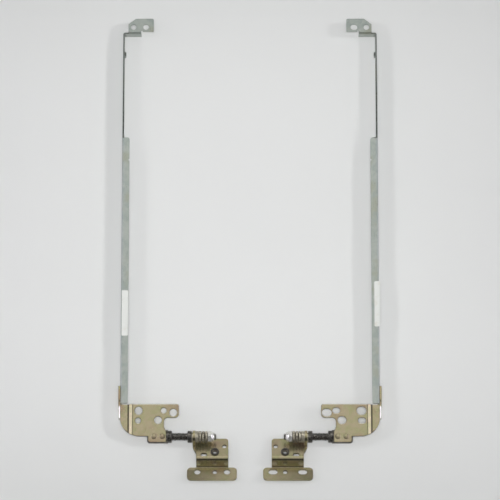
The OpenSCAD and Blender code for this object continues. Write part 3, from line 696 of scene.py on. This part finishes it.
class HINGES_OT_stage(bpy.types.Operator):
    """Add the table, the world, the lamps and the camera"""

    bl_idname = "hinges.stage"
    bl_label = "Add Table, Lamps and Camera"

    # Levels of the mirrored room by height, from straight down to straight up.
    room_levels = [(0.0, 0.46), (0.42, 0.53), (0.75, 0.68), (1.0, 0.80)]
    dark_side_levels = [(0.0, 0.09), (0.55, 0.07), (0.88, 0.15), (1.0, 0.78)]
    window_light = (1.7, 1.64, 1.95)
    plain_light = (0.2, 0.2, 0.205, 1)
    seen_background = (0.80, 0.81, 0.81, 1)
    table_radius = 6
    table_gap = 0.02 * MM
    view_centre = (0, -0.8 * MM, 0)

    def execute(self, context):
        self.add_floor()
        self.add_world(context.scene)
        self.add_lamps()
        self.add_camera(context.scene)
        context.scene.view_settings.view_transform = "Standard"
        return {"FINISHED"}

    def add_floor(self):
        """A wide flat table top at the height that the hinges lie on."""
        mesh = bpy.data.meshes.new("floor")
        shape = bmesh.new()
        bmesh.ops.create_circle(shape, cap_ends=True, segments=96, radius=self.table_radius)
        shape.to_mesh(mesh)
        shape.free()
        mesh.materials.append(surface("floor", floor_finish))
        floor = bpy.data.objects.new("floor", mesh)
        floor.location.z = -self.table_gap
        bpy.context.scene.collection.objects.link(floor)

    def add_world(self, scene):
        """The room that the metal mirrors, an even light for all else, and what the camera sees behind."""
        world = bpy.data.worlds.new("room")
        world.use_nodes = True
        # The windows are for mirrored rays only, so the world isn't sampled as a lamp is.
        world.cycles.sampling_method = "NONE"
        scene.world = world
        graph = Graph(world.node_tree)
        level = self.room_light(graph)
        mirrored = graph.add("Background", None, {"Color": level, "Strength": 1.0})
        plain = graph.add("Background", None, {"Color": self.plain_light, "Strength": 1.0})
        seen = graph.add("Background", None, {"Color": self.seen_background, "Strength": 1.0})
        in_metal = graph.add("LightPath", out="Is Glossy Ray")
        in_view = graph.add("LightPath", out="Is Camera Ray")
        room = graph.add("MixShader", None, {0: in_metal, 1: plain, 2: mirrored})
        graph.add("OutputWorld", None, {0: graph.add("MixShader", None, {0: in_view, 1: room, 2: seen})})

    def room_light(self, graph):
        """Light of a room with two bright windows and a dark side, by the direction that it comes from."""
        way = graph.add("TexCoord", out="Generated")
        across, back, height = (graph.share(way, axis) for axis in "XYZ")
        room = graph.add("ValToRGB", {"stops": self.room_levels}, {"Fac": height})
        dark_side = graph.add("ValToRGB", {"stops": self.dark_side_levels}, {"Fac": height})
        level = graph.mix(back.rise(-0.1, -0.35), room, dark_side)
        overhead = height.rise(0.58, 0.7) * height.rise(0.955, 0.87) * back.rise(0.15, 0.35)
        level = graph.brighten(level, 1 + overhead * 1.2)
        window = abs(across).rise(0.7, 0.84) * height.rise(0.03, 0.14) * height.rise(0.68, 0.5)
        level = graph.mix(window, level, self.window_light)
        gap = abs(across).rise(0.34, 0.46) * abs(across).rise(0.78, 0.66)
        return graph.brighten(level, 1 - gap * 0.8)

    def add_lamps(self):
        """Two narrow side lamps that cast the outward shadows, and one lamp from the camera's side."""
        area_lamp(
            "left_lamp", place=(-0.95, 0.1, 0.8), target=(0.28, 0, 0), size=(0.3, 0.42),
            power=0.085, spread=10)
        area_lamp(
            "right_lamp", place=(0.95, 0.1, 0.8), target=(-0.28, 0, 0), size=(0.3, 0.42),
            power=0.12, spread=10)
        area_lamp(
            "front_lamp", place=(0, -0.42, 1.95), target=(0, 0, 0), size=(0.45, 0.35),
            power=23)

    def add_camera(self, scene):
        """The camera looks down from the side of the base brackets."""
        stage = scene.hinge_stage
        lens = bpy.data.cameras.new("camera")
        lens.angle = 2 * math.atan(stage.view_width / 2 / stage.view_distance)
        lens.clip_start = 50 * MM
        camera = bpy.data.objects.new("camera", lens)
        back = Vector((0, -math.sin(stage.view_tilt), math.cos(stage.view_tilt)))
        camera.location = Vector(self.view_centre) + stage.view_distance * back
        camera.rotation_euler = (stage.view_tilt, 0, 0)
        scene.collection.objects.link(camera)
        scene.camera = camera


class HINGES_OT_arms(bpy.types.Operator):
    """Finish the two screen arms in clear zinc"""

    bl_idname = "hinges.arms"
    bl_label = "Finish Arms"

    def execute(self, context):
        dress(cad_nodes("arm"), surface("clear_zinc", zinc_finish()))
        return {"FINISHED"}


class HINGES_OT_brackets(bpy.types.Operator):
    """Finish the screen brackets, the base brackets and the tail rivets in olive gold"""

    bl_idname = "hinges.brackets"
    bl_label = "Finish Brackets"

    def execute(self, context):
        # Painted shade and painted highlights go on the screen brackets' edges and folds.
        screen_side = surface("gold_zinc_screen", gold_finish(screen_bracket_shade_and_cut_faces, brightened=painted_edge_highlights))
        dress(cad_nodes("screen_bracket"), screen_side)
        # Painted shade goes on the base brackets' step and foot.
        dress(cad_nodes("base_bracket"), surface("gold_zinc", gold_finish(base_bracket_shade)))
        dress(cad_nodes("tail_rivets"), surface("gold_zinc_peened", gold_finish(gloss=0.35)))
        return {"FINISHED"}


class HINGES_OT_shafts(bpy.types.Operator):
    """Finish the shafts and the arm rivets in blackened steel, with threads and old grease"""

    bl_idname = "hinges.shafts"
    bl_label = "Finish Shafts"

    def execute(self, context):
        material = surface("black_steel", black_finish)
        dress(cad_nodes("shaft", "arm_rivets"), material)
        grease = surface("old_grease", grease_finish)
        for side in TOWARDS_MIDDLE:
            self.add_tip_thread(side, material)
            self.add_neck_grease(side, grease, context.scene.hinge_details)
        return {"FINISHED"}

    def add_tip_thread(self, side, material):
        """The thread between the lock nut and the tip of the shaft."""
        nut_end = inner_end(side, "lock_nut")
        tip = inner_end(side, "shaft")
        rings = thread_rings(length=abs(tip - nut_end) - TIP_THREAD_GAP, **TIP_THREAD)
        mesh = tube_mesh("tip_thread", rings, on_hinge_axis((nut_end + tip) / 2))
        add_piece(side + "_tip_thread", mesh, material, SCREEN_SIDE)

    def add_neck_grease(self, side, material, details):
        """Lumps of old grease round the neck of the shaft."""
        from_tip = details.neck_from_tip + details.neck_length / 2
        middle = inner_end(side, "shaft") - TOWARDS_MIDDLE[side] * from_tip
        rings = grease_rings(details.neck_length, details.neck_radius, details.grease_film)
        mesh = tube_mesh("neck_grease", rings, on_hinge_axis(middle))
        add_piece(side + "_neck_grease", mesh, material, SCREEN_SIDE)


class HINGES_OT_friction_packs(bpy.types.Operator):
    """Finish the washers, the springs and the lock nuts"""

    bl_idname = "hinges.friction_packs"
    bl_label = "Finish Friction Packs"

    def execute(self, context):
        plating = context.scene.hinge_plating
        washer = surface("washer_steel", turned_finish(plating.spring, gloss=0.24, dirt_and_shade_level=0.5))
        spring = surface("spring_steel", turned_finish(plating.spring, gloss=0.28, dirt_and_shade_level=0.85))
        nickel = surface("nickel", turned_finish(plating.nickel, gloss=0.14, dirt_and_shade_level=0.15))
        dress(cad_nodes("stop_washer", "friction_washer", "pressure_washer"), washer, WASHER_EDGE)
        dress(cad_nodes(*SPRINGS), spring, SPRING_EDGE)
        dress(cad_nodes("lock_nut"), nickel, NUT_EDGE)
        return {"FINISHED"}


class HINGES_OT_inserts(bpy.types.Operator):
    """Finish the threaded inserts and cut the threads of the base brackets"""

    bl_idname = "hinges.inserts"
    bl_label = "Finish Inserts"

    def execute(self, context):
        dress(cad_nodes("threaded_insert"), surface("insert_black", insert_finish), INSERT_EDGE)
        finishes = {
            "foot_thread": (bpy.data.materials["gold_zinc"], "gold_steel"),
            "insert_thread": (surface("insert_thread", worn_thread_finish), "black_steel"),
        }
        mounts = {mount["name"]: mount for mount in frame["record"]["mounts"]}
        for side in TOWARDS_MIDDLE:
            for thread, (material, slot) in finishes.items():
                name = "%s_%s" % (side, thread)
                mesh = self.thread_mesh(thread, mounts[name], context.scene.hinge_details.thread_depth)
                add_piece(name, mesh, material, side + "_base")
        return {"FINISHED"}

    def thread_mesh(self, name, mount, depth):
        """The thread in the threaded hole that a mount of the record gives."""
        turn = Vector(mount["axis"]).to_track_quat("Z", "X").to_matrix().to_4x4()
        rings = thread_rings(mount["dims"]["r_mm"] * MM, -depth, mount["dims"]["length_mm"] * MM)
        return tube_mesh(name, rings, Matrix.Translation(mount["pos_m"]) @ turn)


class HINGES_OT_labels(bpy.types.Operator):
    """Finish the two plain paper labels"""

    bl_idname = "hinges.labels"
    bl_label = "Finish Labels"

    def execute(self, context):
        dress(cad_nodes("label"), surface("label_paper", paper_finish), LABEL_EDGE)
        return {"FINISHED"}


OPERATORS = (
    HINGES_OT_stage, HINGES_OT_arms, HINGES_OT_brackets, HINGES_OT_shafts,
    HINGES_OT_friction_packs, HINGES_OT_inserts, HINGES_OT_labels,
)
GROUPS = {
    "hinge_plating": PlatingSettings,
    "hinge_details": DetailSettings,
    "hinge_stage": StageSettings,
}


class HINGES_PT_sidebar(bpy.types.Panel):
    """Lists the settings and the steps in the 3D view's sidebar"""

    bl_idname = "HINGES_PT_sidebar"
    bl_label = "Laptop Hinges"
    bl_space_type = "VIEW_3D"
    bl_region_type = "UI"
    bl_category = "Hinges"

    def draw(self, context):
        for name, group in GROUPS.items():
            box = self.layout.box()
            for setting in group.__annotations__:
                box.prop(getattr(context.scene, name), setting)
        for operator in OPERATORS:
            self.layout.operator(operator.bl_idname)


def register():
    """Registers the settings, the operators and the panel."""
    for name, group in GROUPS.items():
        bpy.utils.register_class(group)
        setattr(bpy.types.Scene, name, bpy.props.PointerProperty(type=group))
    for item in (*OPERATORS, HINGES_PT_sidebar):
        bpy.utils.register_class(item)


def unregister():
    """Takes away what register added."""
    for item in (HINGES_PT_sidebar, *reversed(OPERATORS)):
        bpy.utils.unregister_class(item)
    for name, group in reversed(GROUPS.items()):
        delattr(bpy.types.Scene, name)
        bpy.utils.unregister_class(group)


def main():
    """Builds the stage and finishes every piece."""
    register()
    bpy.ops.hinges.stage()
    bpy.ops.hinges.arms()
    bpy.ops.hinges.brackets()
    bpy.ops.hinges.shafts()
    bpy.ops.hinges.friction_packs()
    bpy.ops.hinges.inserts()
    bpy.ops.hinges.labels()


if __name__ == "__main__":
    main()
